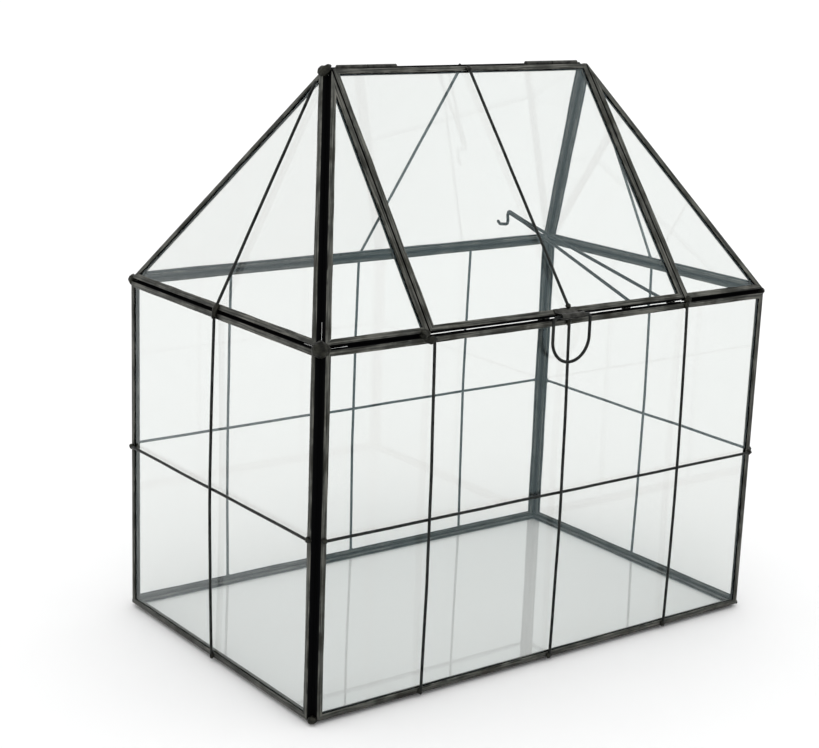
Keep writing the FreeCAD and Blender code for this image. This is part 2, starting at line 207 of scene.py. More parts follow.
def addNode(tree, kind, inputs=None, **settings):
    node = tree.nodes.new("ShaderNode" + kind)
    for key, value in settings.items():
        setattr(node, key, value)
    for key, value in (inputs or {}).items():
        if isinstance(value, bpy.types.NodeSocket):
            tree.links.new(value, node.inputs[key])
        else:
            node.inputs[key].default_value = value
    return node


def noiseOf(tree, coordinate, stretch, scale, detail=6.0, roughness=0.6):
    # fractal noise of a stretched coordinate
    mapping = addNode(tree, "Mapping", {"Vector": coordinate, "Scale": stretch})
    return addNode(tree, "TexNoise", {"Vector": mapping.outputs[0], "Scale": scale, "Detail": detail,
                                      "Roughness": roughness}).outputs["Fac"]


def steps(tree, value, *stops):
    # colour by value: the stops are (place, colour)
    ramp = addNode(tree, "ValToRGB", {"Fac": value})
    elements = ramp.color_ramp.elements
    while len(elements) < len(stops):
        elements.new(0.5)
    for element, (place, colour) in zip(elements, stops):
        element.position = place
        element.color = (*colour, 1) if len(colour) == 3 else colour
    return ramp.outputs["Color"]


def blendColour(tree, share, first, second):
    mix = addNode(tree, "Mix", data_type="RGBA")
    for key, value in ((0, share), (6, first), (7, second)):
        if isinstance(value, bpy.types.NodeSocket):
            tree.links.new(value, mix.inputs[key])
        else:
            mix.inputs[key].default_value = value if key == 0 else (*value, 1)
    return mix.outputs[2]


def sums(tree, operation, *values):
    # one arithmetic node on sockets and numbers alike
    node = addNode(tree, "Math", operation=operation)
    for place, value in enumerate(values):
        if isinstance(value, bpy.types.NodeSocket):
            tree.links.new(value, node.inputs[place])
        else:
            node.inputs[place].default_value = value
    return node.outputs[0]


def bumpFrom(tree, shader, height, strength, distance):
    bump = addNode(tree, "Bump", {"Height": height, "Strength": strength, "Distance": distance})
    tree.links.new(bump.outputs[0], shader.inputs["Normal"])


# the black here is black patina and painted shade, for the channels' spines, linings and seam beads
sheetLook = {
    "dark": (0.010, 0.011, 0.011), "grey": (0.052, 0.054, 0.049), "light": (0.170, 0.168, 0.148),
    "brown": (0.020, 0.019, 0.014), "black": (0.0010, 0.0011, 0.0014),
    "metallic": 0.75, "gloss": 0.05,
    "streakLength": 45.0, "streakWidth": 1500.0, "blotch": 95.0, "grain": 2400.0,
}


def foldedSheetMaterial(name, look):
    # streaks run along the strip under blotches of patina; edges wear light, and the fold's back and the
    # channel's lining are painted black: black patina and painted shade
    material, tree, shader = newMaterial(name)
    sheet = addNode(tree, "UVMap", uv_map="sheet").outputs[0]
    place = addNode(tree, "TexCoord").outputs["Object"]
    wear = addNode(tree, "Attribute", attribute_name="wear").outputs["Fac"]
    patina = addNode(tree, "Attribute", attribute_name="patina").outputs["Fac"]
    streaks = noiseOf(tree, sheet, (look["streakLength"], look["streakWidth"], 1), 1.0, 4.0, 0.6)
    blotches = noiseOf(tree, place, (1, 1, 1), look["blotch"], 5.0, 0.6)
    grains = noiseOf(tree, place, (1, 1, 1), look["grain"], 3.0, 0.6)
    colour = steps(tree, streaks, (0.34, look["dark"]), (0.48, look["grey"]), (0.68, look["light"]))
    stain = steps(tree, blotches, (0.48, (0, 0, 0)), (0.66, (1, 1, 1)))
    colour = blendColour(tree, sums(tree, "MULTIPLY", stain, 0.7), colour, look["brown"])
    clean = steps(tree, blotches, (0.36, (1, 1, 1)), (0.50, (0, 0, 0)))
    rubbed = sums(tree, "MULTIPLY", wear, clean)
    colour = blendColour(tree, sums(tree, "MULTIPLY", rubbed, 0.7), colour, look["light"])
    # the black blended in here is black patina and painted shade: the spine, the channel's lining and the
    # seam beads
    colour = blendColour(tree, patina, colour, look["black"])
    tree.links.new(colour, shader.inputs["Base Color"])
    rough = steps(tree, sums(tree, "ADD", streaks, sums(tree, "MULTIPLY", patina, 0.6)),
                  (0.30, (0.30,) * 3), (0.62, (0.46,) * 3), (0.95, (0.85,) * 3))
    tree.links.new(rough, shader.inputs["Roughness"])
    metal = steps(tree, patina, (0.2, (look["metallic"],) * 3), (0.9, (0.0,) * 3))
    tree.links.new(metal, shader.inputs["Metallic"])
    shader.inputs["Specular IOR Level"].default_value = look["gloss"]
    height = sums(tree, "ADD", sums(tree, "MULTIPLY", streaks, 0.6), sums(tree, "MULTIPLY", grains, 0.4))
    bumpFrom(tree, shader, height, 0.35, 0.05 * mm)
    return material


wireLook = {"dark": (0.006, 0.007, 0.007), "light": (0.034, 0.036, 0.034), "scale": 260.0,
            "smooth": 0.32, "rough": 0.52, "pits": 0.25, "pitDepth": 0.05 * mm, "metallic": 0.8}
tubeLook = {"dark": (0.012, 0.012, 0.011), "light": (0.075, 0.074, 0.066), "scale": 300.0,
            "smooth": 0.28, "rough": 0.50, "pits": 0.30, "pitDepth": 0.06 * mm, "metallic": 0.8}
solderLook = {"dark": (0.003, 0.003, 0.0025), "light": (0.034, 0.034, 0.026), "scale": 420.0,
              "smooth": 0.30, "rough": 0.62, "pits": 0.55, "pitDepth": 0.18 * mm, "metallic": 0.7}


def darkMetalMaterial(name, look):
    # two greys by fractal noise, with pits and a second, finer noise in the roughness
    material, tree, shader = newMaterial(name)
    place = addNode(tree, "TexCoord").outputs["Object"]
    broad = noiseOf(tree, place, (1, 1, 1), look["scale"], 6.0, 0.62)
    fine = noiseOf(tree, place, (1, 1, 1), look["scale"] * 7, 4.0, 0.6)
    between = tuple(0.5 * (a + b) for a, b in zip(look["dark"], look["light"]))
    colour = steps(tree, broad, (0.34, look["dark"]), (0.52, between), (0.70, look["light"]))
    tree.links.new(colour, shader.inputs["Base Color"])
    roughness = steps(tree, fine, (0.3, (look["smooth"],) * 3), (0.7, (look["rough"],) * 3))
    tree.links.new(roughness, shader.inputs["Roughness"])
    shader.inputs["Metallic"].default_value = look["metallic"]
    shader.inputs["Specular IOR Level"].default_value = 0.3
    height = sums(tree, "ADD", broad, sums(tree, "MULTIPLY", fine, 0.35))
    bumpFrom(tree, shader, height, look["pits"], look["pitDepth"])
    return material


glassLook = {"tint": (0.890, 0.902, 0.893), "sheen": (0.56, 0.80, 0.86), "ior": 1.45, "waviness": 0.02}
# the floor's pane gets a clearer tint than the same glass in the walls: painted light, lifting the shade that
# the house casts on the floor under it
brightenedGlassLook = glassLook | {"tint": (0.985, 0.995, 0.99)}


def glassMaterial(name, look):
    # clear sheet glass: very long, faint waves in its faces and a few fine smears in its polish
    material, tree, shader = newMaterial(name)
    place = addNode(tree, "TexCoord").outputs["Object"]
    waves = noiseOf(tree, place, (1, 1, 1), 18.0, 1.0, 0.4)
    smears = noiseOf(tree, place, (1, 1, 3), 30.0, 6.0, 0.7)
    shader.inputs["Base Color"].default_value = (*look["tint"], 1)
    shader.inputs["Transmission Weight"].default_value = 1.0
    shader.inputs["IOR"].default_value = look["ior"]
    shader.inputs["Specular Tint"].default_value = (*look["sheen"], 1)
    polish = steps(tree, smears, (0.55, (0.0,) * 3), (0.85, (0.035,) * 3))
    tree.links.new(polish, shader.inputs["Roughness"])
    bumpFrom(tree, shader, waves, look["waviness"], 0.5 * mm)
    return material


sheetMetal = foldedSheetMaterial("patinatedSheet", sheetLook)
wireMetal = darkMetalMaterial("patinatedWire", wireLook)
tubeMetal = darkMetalMaterial("patinatedTube", tubeLook)
solderMetal = darkMetalMaterial("blackenedSolder", solderLook)
clearGlass = glassMaterial("clearSheetGlass", glassLook)
brightenedFloorGlass = glassMaterial("clearFloorGlass", brightenedGlassLook)
print("materials ready")


channel = {
    "depth": 3.2 * mm, "leg": 2.6 * mm, "wall": 0.5 * mm, "fold": 0.45 * mm, "innerFold": 0.08 * mm,
    "glassToSpine": 0.8 * mm, "edge": 0.10 * mm, "mitreGap": 0.05 * mm, "step": 4 * mm,
    "wander": 0.10 * mm, "wanderLength": 70 * mm,
}
paneNames = sorted(name[:-6] for name in frame["nodes"] if name.endswith("_glass"))


def meshPoints(node):
    mesh = frame["nodes"][node].data
    points = np.empty(len(mesh.vertices) * 3, np.float32)
    mesh.vertices.foreach_get("co", points)
    return np.unique(points.reshape(-1, 3).astype(float).round(7), axis=0)


houseMiddle = np.mean([meshPoints(name + "_glass").mean(0) for name in paneNames], axis=0)


def readPane(name):
    # the glass's thinnest direction is the pane's normal; its corners are sorted by angle about the middle
    points = meshPoints(name + "_glass")
    middle = points.mean(0)
    _, _, directions = np.linalg.svd(points - middle)
    normal = directions[2]
    if normal @ (middle - houseMiddle) < 0:
        normal = -normal
    height = (points - middle) @ normal
    face = points[height > 0] - np.outer(height[height > 0], normal)
    middle = face.mean(0)
    first = unit(face[0] - middle)
    second = np.cross(normal, first)
    order = np.argsort(np.arctan2((face - middle) @ second, (face - middle) @ first))
    corners = face[order]
    edges = unit(np.roll(corners, -1, 0) - corners)
    inward = np.cross(normal, edges)
    before = np.roll(inward, 1, 0)
    share = np.einsum("ij,ij->i", before, inward)[:, None]
    outline = corners - channel["glassToSpine"] * (before + inward) / (1 + share)    # all sides go out alike
    return {"corners": outline, "normal": normal, "inner": outline - normal * channel["depth"] / 2}


panes = {name: readPane(name) for name in paneNames}


def cornerOf(name, direction, part="inner"):
    # the corner of a pane that lies furthest in a direction
    corners = panes[name][part]
    return corners[np.argmax((corners - houseMiddle) @ np.asarray(direction, float))]


def channelSection():
    # the U section, anticlockwise: x in from the spine, y along the pane's normal, atTip rising to the tips
    c = channel
    half, edge = c["depth"] / 2, c["edge"]
    quarter = np.linspace(0, pi / 2, 6)
    tip = np.linspace(0, pi / 2, 3)

    def arc(cx, cy, radius, start, angles):
        return np.stack([cx + radius * np.cos(start + angles), cy + radius * np.sin(start + angles)], -1)

    runs = [
        arc(c["leg"] - edge, half - edge, edge, 0, tip),
        np.array([[c["leg"] * 0.6, half]]),
        arc(c["fold"], half - c["fold"], c["fold"], pi / 2, quarter),
        np.array([[0, 0.3 * half], [0, -0.3 * half]]),
        arc(c["innerFold"], c["innerFold"] - half, c["innerFold"], pi, quarter),
        np.array([[c["leg"] * 0.6, -half]]),
        arc(c["leg"] - edge, edge - half, edge, -pi / 2, tip),
        arc(c["leg"] - edge, c["wall"] - edge - half, edge, 0, tip),
        np.array([[c["wall"], c["wall"] - half], [c["wall"], half - c["wall"]]]),
        arc(c["leg"] - edge, half - c["wall"] + edge, edge, -pi / 2, tip),
    ]
    section = np.concatenate(runs)
    atTip = np.clip((section[:, 0] - c["leg"] * 0.5) / (c["leg"] * 0.5), 0, 1)
    wear = np.exp(-((section[:, 0] - c["leg"]) / (0.25 * mm)) ** 2)
    foldDistance = np.hypot(section[:, 0] - 0.2 * mm, section[:, 1] - half + 0.2 * mm)
    wear = np.maximum(wear, np.exp(-(foldDistance / (0.3 * mm)) ** 2))
    # the spine and the channel's lining are painted black: black patina and painted shade, where the notches
    # and the inside of the U lie in shade
    patina = np.clip(1.35 - section[:, 0] / (0.22 * mm), 0, 1) * (section[:, 1] < half - 0.25 * mm)
    lining = len(tip) * 3 + len(quarter) * 2 + 3    # the four points that line the channel are painted black: black patina and painted shade inside the U
    patina[lining:lining + 4] = 1.0
    return section, atTip, wear, patina


def channelStrip(start, end, normal, insetStart, insetEnd, section, atTip, wear, patina, seed):
    # the section carried along one side of a pane; both ends are mitred, so they move in with the inset
    direction = unit(end - start)
    inward = np.cross(normal, direction)
    length = np.linalg.norm(end - start)
    rows = max(4, int(length / channel["step"]))
    share = np.linspace(0, 1, rows)[:, None]
    upper = section[:, 1] > 0
    distance = share[:, 0] * length
    outer, inner = [wander(distance, channel["wander"], channel["wanderLength"], seed + k)[:, None]
                    for k in (0, 1)]
    drift = np.where(upper, outer, inner)
    inset = section[:, 0] + atTip * drift
    low = inset * insetStart + channel["mitreGap"]
    high = length - inset * insetEnd - channel["mitreGap"]
    along = low + share * (high - low)
    outward = section[:, 1] + 0.25 * atTip * drift
    points = start + along[..., None] * direction + inset[..., None] * inward + outward[..., None] * normal
    around = np.r_[0, np.cumsum(np.linalg.norm(np.diff(section, axis=0, append=section[:1]), axis=-1))]
    lengthways = np.c_[along, along[:, :1]] + 0.37 * seed    # each strip takes its own part of the pattern
    uv = np.stack(np.broadcast_arrays(lengthways, around[None] + 0.011 * seed), -1)
    return {"points": points, "uv": uv, "wear": wear[None], "patina": patina[None]}


bead = {
    "radius": 0.30 * mm, "thin": 0.15 * mm, "lip": 0.33 * mm, "lift": 0.10 * mm, "thinLift": 0.15 * mm,
    "short": 2.0 * mm, "open": 13 * mm, "near": 6 * mm, "reach": 1.7 * mm, "slack": 1.0 * mm, "uneven": 0.22,
}
openCorner = cornerOf("front_wall", (-1, 0, 1))    # the roof and eave seams at this corner stay partly open


def nearestOn(point, start, end):
    # the foot of the perpendicular from a point to a line between two ends
    direction = end - start
    share = np.clip((point - start) @ direction / (direction @ direction), 0, 1)
    return start + share * direction


def sidesOf(name):
    corners = panes[name]["inner"]
    return zip(corners, np.roll(corners, -1, 0))


def seamAlong(name, start, end, other):
    # the line midway between a pane's side and a neighbour's, if that is near enough and at least as long
    for otherStart, otherEnd in sidesOf(other):
        feet = nearestOn(start, otherStart, otherEnd), nearestOn(end, otherStart, otherEnd)
        apart = max(np.linalg.norm(start - feet[0]), np.linalg.norm(end - feet[1]))
        longer = np.linalg.norm(otherEnd - otherStart) - np.linalg.norm(end - start)
        sameLength = abs(longer) <= bead["slack"]
        if apart <= bead["reach"] and longer >= -bead["slack"] and not (sameLength and name > other):
            return (start + feet[0]) / 2, (end + feet[1]) / 2
    return None


def beadBar(path, radius, side, seed, uneven):
    # the beads are black all over: black patina and painted shade, like the seams they sit in
    return bar(path, radius, side, 8, seed, uneven) | {"patina": np.ones(1)}


def seamBeads(name, seed):
    # solder run into each seam, one full bead; by the open corner that starts late and a thinner one goes on
    normal = panes[name]["normal"]
    beads = []
    for k, (start, end) in enumerate(sidesOf(name)):
        for other in paneNames:
            seam = None if "lid" in (name, other) or other == name else seamAlong(name, start, end, other)
            if seam is None:
                continue
            first, last = seam
            direction = unit(last - first)
            length = np.linalg.norm(last - first)
            isUpright = abs(direction[2]) >= 0.95
            isOpen = [not isUpright and np.linalg.norm(stop - openCorner) < bead["near"] for stop in seam]
            stops = [bead["open"] if late else bead["short"] for late in isOpen]
            if max(stops) > bead["short"]:
                along = np.linspace(bead["short"], length - bead["short"], 30)[:, None]
                path = first + bead["thinLift"] * normal + along * direction
                beads.append(beadBar(path, bead["thin"], normal, seed + 50 + k, bead["uneven"]))
            along = np.linspace(stops[0], length - stops[1], int(length / (5 * mm)) + 2)[:, None]
            path = first + bead["lift"] * normal + along * direction
            beads.append(beadBar(path, bead["radius"], normal, seed + k, bead["uneven"]))
    return beads


def lipBead(seed):
    # solder along the front wall's lip, under the lid's free edge and not touching it
    corners = [panes[name]["inner"] for name in ("front_wall", "lid")]
    wall, lid = [points[np.argsort(points[:, 2])] for points in corners]
    ends = [nearestOn(point, *wall[-2:]) for point in lid[:2]]
    return beadBar(np.linspace(ends[0], ends[1], 34), bead["lip"], up, seed, 0.3)


def addChannel(name, seed):
    pane = panes[name]
    corners, normal = pane["corners"], pane["normal"]
    edges = unit(np.roll(corners, -1, 0) - corners)
    back = -np.roll(edges, 1, 0)
    interior = np.arccos(np.clip(np.einsum("ij,ij->i", back, edges), -1, 1))
    shift = 1 / np.tan(interior / 2)    # how far a mitre runs along the side for each step inward
    section = channelSection()
    count = len(corners)
    strips = []
    for k in range(count):
        after = (k + 1) % count
        strips.append(channelStrip(corners[k], corners[after], normal, shift[k], shift[after],
                                   *section, seed * 10 + 2 * k))
    strips += seamBeads(name, seed * 7)
    if name == "front_wall":
        strips.append(lipBead(seed + 5))
    body = "lid" if name == "lid" else "case"
    buildPiece(name + "Channel", strips, sheetMetal, body, "channel", name + "_channel")


for seed, name in enumerate(paneNames):
    addChannel(name, seed + 1)
    glass = frame["nodes"][name + "_glass"]
    glass.data.materials.clear()
    # the floor's pane takes the brightened copy of the glass: painted light against the shade under the house
    glass.data.materials.append(brightenedFloorGlass if name == "floor" else clearGlass)
    glass.visible_shadow = False    # clear glass lets the soft light through to the floor
print("channels and glass:", len(paneNames), "panes")


wire = {"radius": 0.7 * mm, "sway": 0.12 * mm, "swayLength": 110 * mm, "step": 5 * mm}


def rodEnds(points):
    # a straight rod's axis is its longest direction, and its ends are the furthest points along that
    middle = (points.max(0) + points.min(0)) / 2
    _, _, directions = np.linalg.svd(points - points.mean(0), full_matrices=False)
    axis = directions[0]
    reach = (points - middle) @ axis
    return middle + axis * reach.min(), middle + axis * reach.max()


def splitRods(node, axis):
    # a node's rods, told apart by the gaps between them along one axis
    points = meshPoints(node)
    points = points[np.argsort(points[:, axis])]
    cuts = np.where(np.diff(points[:, axis]) > 5 * mm)[0] + 1
    return np.split(points, cuts)


def wirePath(start, end, bow, outward, seed):
    # a straight line, pushed outward by half a sine and swayed sideways by a ripple that dies at both ends
    length = np.linalg.norm(end - start)
    share = np.linspace(0, 1, int(length / wire["step"]) + 2)[:, None]
    sideways = unit(np.cross(end - start, outward))
    held = np.sin(pi * share) ** 0.5
    sway = wander(share[:, 0] * length, wire["sway"], wire["swayLength"], seed)[:, None]
    return start + share * (end - start) + outward * bow * np.sin(pi * share) + sideways * sway * held


def addStraightWire(node, outward, seed, body="case"):
    start, end = rodEnds(meshPoints(node))
    path = wirePath(start, end, 0.0, outward, seed)
    buildPiece(camel(node), [bar(path, wire["radius"], outward, seed=seed)], wireMetal, body, "wire", node)


def camel(node):
    first, *rest = node.split("_")
    return first + "".join(word.capitalize() for word in rest)


def addUprights(node, axis, outward, seed):
    bars = []
    for k, points in enumerate(splitRods(node, axis)):
        place = (points[:, axis].min() + points[:, axis].max()) / 2
        depth = points @ outward
        ends = depth.min() + wire["radius"]
        bow = depth.max() - wire["radius"] - ends
        foot = outward * ends + up * points[:, 2].min()
        head = outward * ends + up * points[:, 2].max()
        foot[axis] = head[axis] = place
        path = wirePath(foot, head, bow, outward, seed + k)
        bars.append(bar(path, wire["radius"], outward, seed=seed + k))
    buildPiece(camel(node), bars, wireMetal, "case", "wire", node)


walls = {"front": (0, -backward), "back": (0, backward), "left": (1, -across), "right": (1, across)}
for seed, (name, (axis, outward)) in enumerate(walls.items()):
    addUprights(name + "_wall_uprights", axis, outward, 40 + 5 * seed)
    addStraightWire(name + "_wall_rail", outward, 60 + seed)
addStraightWire("left_hip_wire", panes["left_hip"]["normal"], 71)
addStraightWire("right_hip_wire", panes["right_hip"]["normal"], 72)
addStraightWire("back_slope_wire", panes["back_slope"]["normal"], 73)
addStraightWire("lid_wire", panes["lid"]["normal"], 74, "lid")
print("wires ready")


hinge = {"radius": 1.2 * mm, "bore": 0.55 * mm, "slit": 0.16, "edge": 0.12 * mm, "pin": 0.5 * mm}


def knuckle(low, high, seam):
    # a rolled sheet tube: a C section, nearly closed, whose ends are cut square with their edges broken
    outer, inner = hinge["radius"], hinge["bore"]
    turn = np.linspace(hinge["slit"], 2 * pi - hinge["slit"], 30)
    along = np.array([0, hinge["edge"], high - low - hinge["edge"], high - low])
    broken = np.array([1, 0, 0, 1]) * hinge["edge"]
    circle = np.stack([np.cos(turn), np.sin(turn)], -1)[None]
    section = np.concatenate([(outer - broken)[:, None, None] * circle,
                              (inner + broken * 0.6)[:, None, None] * circle[:, ::-1]], 1)
    towards, side = unit(seam), np.cross(across, unit(seam))
    return along, section[..., :1] * towards + section[..., 1:] * side


pinHeight = frame["joints"][0]["pos_m"][2]
hingeLine = np.array([0.0, 0.0, pinHeight])
for side in ("left", "right"):
    for body, seamWay in (("case", np.array([0, 0.6, -0.8])), ("lid", np.array([0, -0.6, -0.8]))):
        node = f"{side}_{body}_knuckle"
        low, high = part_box(node)
        along, ring = knuckle(low.x, high.x, seamWay)
        points = hingeLine + ring + (low.x + along)[:, None, None] * across
        buildPiece(camel(node), [{"points": points}], tubeMetal, body, "hinge_metal", node)
    node = f"{side}_hinge_pin"
    low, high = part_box(node)
    ends = np.linspace(low.x + 0.2 * mm, high.x - 0.2 * mm, 12)[:, None] * across + hingeLine
    buildPiece(camel(node), [bar(ends, hinge["pin"], up, seed=85)], tubeMetal, "case", "hinge_metal", node)
print("hinges ready")


lidNormal = panes["lid"]["normal"]
lidUp = np.cross(lidNormal, across)
lidFoot = cornerOf("lid", (0, 0, -1))
joints = {joint["name"]: joint for joint in frame["joints"]}
pull = {
    "wire": 0.75 * mm, "bend": 2.0 * mm, "endGap": 3.0 * mm, "sheet": 0.5 * mm, "curl": 1.25 * mm,
    "plate": 2.5 * mm, "plateLift": 3.45 * mm, "curlTurn": 5.1, "sway": 0.12 * mm, "ragged": 0.036 * mm,
}


def addPull():
    pivot = np.array(joints["handle_pivot"]["pos_m"])
    low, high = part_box("pull_loop")
    half = (high.x - low.x) / 2 - pull["wire"]
    drop = pivot[2] - low.z - pull["wire"]
    end = pull["endGap"] / 2
    outline = (-end, 0), (-half, 0), (-half, -drop), (half, -drop), (half, 0), (end, 0)
    corners = [pivot + across * x + up * z for x, z in outline]
    path = softPath(corners, [pull["bend"], half, half, pull["bend"]])
    sway = wander(path[:, 2], pull["sway"], 30 * mm, 91)
    path = path + across * (sway * (pivot[2] - path[:, 2]) / drop)[:, None]
    buildPiece("pullLoop", [bar(path, pull["wire"], backward, sides=18, seed=92)],
               wireMetal, "handle", "wire", "pull_loop")

    # the clip is one sheet: flat on the lid's leg, then bent out and curled round the loop's wire
    clipLow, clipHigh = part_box("pull_clip")
    foot = lidFoot @ lidUp
    pivotAt = np.array([pivot @ lidUp, (pivot - lidFoot) @ lidNormal])
    top = np.array([foot + pull["plate"], pull["plateLift"]])
    heel = np.array([foot + 0.5 * mm, pull["plateLift"]])
    reach = pivotAt - heel
    distance = np.linalg.norm(reach)
    facing = atan2(reach[1], reach[0])
    lean = np.arcsin(pull["curl"] / distance)
    begin = facing - lean + pi / 2
    turn = np.linspace(begin, begin + pull["curlTurn"], 34)
    curl = pivotAt + pull["curl"] * np.stack([np.cos(turn), np.sin(turn)], -1)
    line = np.concatenate([top[None], heel[None], curl])
    ahead = unit(np.gradient(line, axis=0))
    beside = np.stack([-ahead[:, 1], ahead[:, 0]], -1) * pull["sheet"] / 2
    section = np.concatenate([line + beside, (line - beside)[::-1]])
    rows = np.linspace(clipLow.x, clipHigh.x, 22)
    places = np.stack(np.broadcast_arrays(rows[:, None], section[None, :, 0]), -1)
    inPlane = section[None] + pull["ragged"] * ripple(places, 5 * mm, 93)[..., None]
    points = (rows[:, None, None] * across + inPlane[..., :1] * lidUp
              + (inPlane[..., 1:] + lidFoot @ lidNormal) * lidNormal)
    buildPiece("pullClip", [{"points": points}], tubeMetal, "lid", "hinge_metal", "pull_clip")


addPull()
print("pull ready")


prop = {
    "wire": 0.8 * mm, "feet": 20.4 * mm, "length": 112 * mm, "join": 96 * mm, "rest": radians(14.4),
    "gap": 0.06 * mm, "bend": 1.6 * mm, "joinBend": 30 * mm, "hook": [(-2.6, -6.8), (3.4, -9.2), (5.4, -8.4)],
    "hookBends": [1.6, 1.8, 1.2], "sideStop": 3 * mm, "eyeStart": 2 * mm, "eyeLength": 4.5 * mm,
    "footOverhang": 0.8 * mm, "eye": 1.3 * mm, "eyeBore": 0.85 * mm,
}


def addProp():
    pivot = np.array(joints["prop_pivot"]["pos_m"])
    along = np.array([0, cos(prop["rest"]), sin(prop["rest"])])
    above = np.array([0, -sin(prop["rest"]), cos(prop["rest"])])
    beside = prop["wire"] + prop["gap"] / 2
    foot = prop["feet"] / 2
    end = foot + prop["eyeStart"] + prop["eyeLength"] + prop["footOverhang"]

    def at(x, reach, rise=0.0):
        return pivot + across * x + along * reach + above * rise

    hook = [at(beside, prop["length"] + a * mm, b * mm) for a, b in prop["hook"]]
    main = [at(end, 0), at(foot, 0), at(beside, prop["join"]), at(beside, prop["length"])] + hook
    bends = [prop["bend"], prop["joinBend"]] + [r * mm for r in prop["hookBends"]]
    top = at(-beside, prop["length"] - prop["sideStop"])
    other = [at(-end, 0), at(-foot, 0), at(-beside, prop["join"]), top]
    legs = ("prop_hook_leg", main, bends, 101), ("prop_side_leg", other, bends[:2], 102)
    for node, corners, radii, seed in legs:
        leg = bar(softPath(corners, radii), prop["wire"], above, sides=16, seed=seed, uneven=0.01)
        buildPiece(camel(node), [leg], wireMetal, "prop", "wire", node)
    eyes = []
    turn = np.linspace(0.25, 2 * pi - 0.25, 26)
    circle = np.stack([np.cos(turn), np.sin(turn)], -1)
    ring = np.concatenate([prop["eye"] * circle, prop["eyeBore"] * circle[::-1]])
    ring = ring[:, :1] * -lidUp + ring[:, 1:] * lidNormal
    for sign in (-1, 1):
        near = sign * (foot + prop["eyeStart"])
        far = near + sign * prop["eyeLength"]
        places = np.array([near, near + sign * 0.1 * mm, far - sign * 0.1 * mm, far])
        size = np.array([0.93, 1, 1, 0.93])[:, None, None]
        eyes.append({"points": pivot + ring[None] * size + places[:, None, None] * across})
    buildPiece("propEyes", eyes, tubeMetal, "lid", "hinge_metal", "prop_eyes")
    middle = foot + prop["eyeStart"] + prop["eyeLength"] / 2
    seatAxes = [across * 1.9 * mm, lidUp * 0.95 * mm, lidNormal * 0.42 * mm]
    seats = [ball(pivot + across * sign * middle + lidNormal * 1.43 * mm, seatAxes, 110 + sign, 0.12)
             for sign in (-1, 1)]
    buildPiece("propEyeSolder", seats, solderMetal, "lid", "solder", "prop_eye_solder")


addProp()
print("prop ready")


solder = {
    "eave": 2.7 * mm, "eaveShare": (1.28, 0.62, 0.85, 0.9),
    "base": 1.9 * mm, "baseShare": (1.1, 0.7, 0.8, 0.75),
    "joint": 1.9 * mm, "jointShare": (1.35, 1.0), "topLobe": 3.0 * mm,
    "apex": 3.0 * mm, "apexShare": (1.0, 0.55), "crossing": 2.0 * mm, "wire": 1.35 * mm, "lid": 1.2 * mm,
}
ways = [(-1, -1), (1, -1), (1, 1), (-1, 1)]    # the four corners, from the near one round


def eaveCorners():
    balls = []
    for k, (x, y) in enumerate(ways):
        corner = cornerOf("front_wall" if y < 0 else "back_wall", (x, 0, 1))
        out = unit(np.array([x, y, 0.0]))
        spread = unit(np.array([-y, x, 0.0]))
        size = solder["eave"] * solder["eaveShare"][k]
        centre = corner + np.array([x, y, 0.3]) * 1.55 * mm * solder["eaveShare"][k]
        balls.append(ball(centre, [out * size * 0.85, spread * size * 1.2, up * size], 120 + k, 0.15, 1.2))
    buildPiece("eaveCornerSolder", balls, solderMetal, "case", "solder", "eave_corner_solder")


def baseCorners():
    balls = []
    for k, (x, y) in enumerate(ways):
        corner = cornerOf("front_wall" if y < 0 else "back_wall", (x, 0, -1))
        size = solder["base"] * solder["baseShare"][k]
        centre = corner + np.array([x, y, 0.25]) * 0.75 * size
        balls.append(ball(centre, [across * size, backward * size, up * size * 0.9], 130 + k, 0.12, 1.4))
    buildPiece("baseCornerSolder", balls, solderMetal, "case", "solder", "base_corner_solder")


def apexes():
    # the left lump is large and lies up along the hip, the right one is small
    balls = []
    for k, (x, aside, rise, stretch) in enumerate(((-1, 2.3 * mm, 0.5 * mm, 1.2), (1, 1.6 * mm, 0.0, 1.0))):
        corner = cornerOf("back_slope", (x, 0, 3))
        size = solder["apex"] * solder["apexShare"][k]
        lean = unit(np.array([-x * 0.8, 0, 0.6]))
        axes = [lean * size * stretch, backward * size, np.cross(lean, backward) * size * 0.78]
        balls.append(ball(corner + across * x * aside + up * rise, axes, 140 + k, 0.15, 1.2))
    buildPiece("apexSolder", balls, solderMetal, "case", "solder", "apex_solder")


def crossings():
    # a lump longer than wide, where a roof wire passes over the eave, leaning in with the roof
    size = solder["crossing"]
    backPlace = splitRods("back_slope_wire", 0)[0][:, 0].mean()
    balls = []
    eaves = [("left_wall", -across, backward), ("right_wall", across, backward),
             ("back_wall", backward, across)]
    for k, (name, out, sideways) in enumerate(eaves):
        corner = cornerOf(name, (0, 0, 1))
        centre = corner + out * 3.3 * mm + up * 1.0 * mm
        centre += sideways * ((backPlace if name == "back_wall" else 0) - corner @ sideways)
        lean = unit(up * 0.9 - out * 0.35)
        axes = [sideways * size * 0.72, lean * size * 1.9, np.cross(lean, sideways) * size * 0.75]
        balls.append(ball(centre, axes, 150 + k, 0.12, 1.2))
    buildPiece("crossingSolder", balls, solderMetal, "case", "solder", "crossing_solder")


def lidCornerJoints():
    # the lumps at the lid's two lower corners; the left one is larger and grows towards the left
    low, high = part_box("lid_corner_joint_solder")
    middle = np.array([0, (low.y + high.y) / 2 - 0.5 * mm, (low.z + high.z) / 2])
    balls = []
    for k, x in enumerate((low.x + solder["joint"], high.x - solder["joint"])):
        size = solder["joint"] * solder["jointShare"][k]
        centre = middle + across * (x + (2 * k - 1) * (size - solder["joint"]))
        axes = [across * size, backward * size * 0.85, up * size * 1.1]
        balls.append(ball(centre, axes, 160 + k, 0.16, 1.2))
    buildPiece("lidCornerJointSolder", balls, solderMetal, "case", "solder", "lid_corner_joint_solder")


